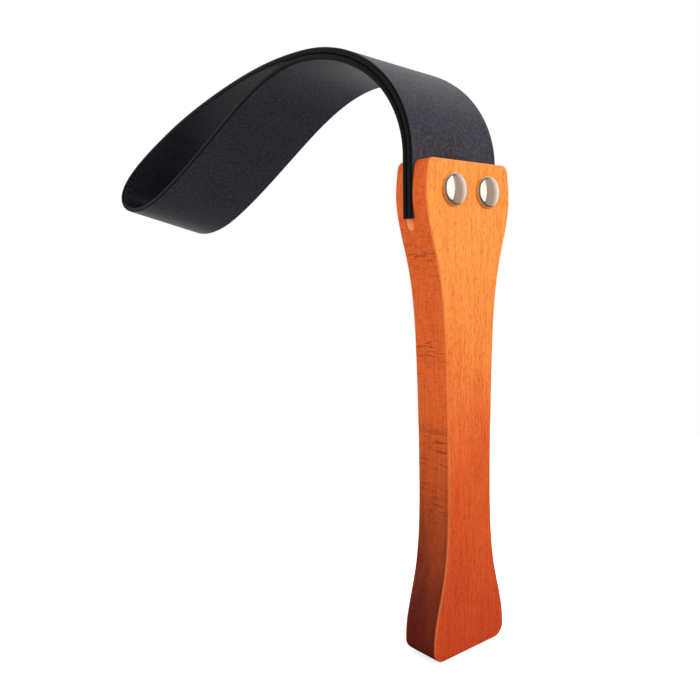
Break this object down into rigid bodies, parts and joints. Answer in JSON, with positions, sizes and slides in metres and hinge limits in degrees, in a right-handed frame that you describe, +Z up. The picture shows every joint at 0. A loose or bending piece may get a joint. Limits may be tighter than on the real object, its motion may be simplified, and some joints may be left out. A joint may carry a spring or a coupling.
{
  "type": "leather loop strap with wooden handle",
  "caption": "Waisted wooden handle with a folded leather strip pinched in a slot at its end by domed rivets; the strip springs over into a long loop.",
  "frame": {"origin": "centre of the handle's butt end face", "axes": "+Z up the handle towards the slot mouth, +X across the handle's width, +Y through its thickness towards the side the strap bends over; the front face looks to -Y"},
  "size_m": [0.0696, 0.2293, 0.2438],
  "materials": {
    "lacquered_beech": "satin lacquer over orange-stained beech",
    "black_leather": "smooth black, fine grain, burnished edges",
    "nickel_cap": "bright nickel plate",
    "plain_steel": "plated steel"
  },
  "bodies": {
    "handle": {"handle": "lacquered_beech", "strap_root": "black_leather", "rivet_left_front_cap": "nickel_cap", "rivet_left_post": "plain_steel", "rivet_left_socket": "plain_steel", "rivet_left_back_cap": "nickel_cap", "rivet_right_front_cap": "nickel_cap", "rivet_right_post": "plain_steel", "rivet_right_socket": "plain_steel", "rivet_right_back_cap": "nickel_cap"},
    "strap": {"strap_loop": "black_leather"}
  },
  "joints": [
    {"name": "strap_flex", "type": "hinge", "parent": "handle", "child": "strap", "pos_m": [0, 0.0015, 0.192], "axis": [1, 0, 0], "range_deg": [-35, 40], "stiffness_Nm_per_rad": 0.4, "springref_deg": 8.59, "deforming": ["strap_root"]}
  ]
}
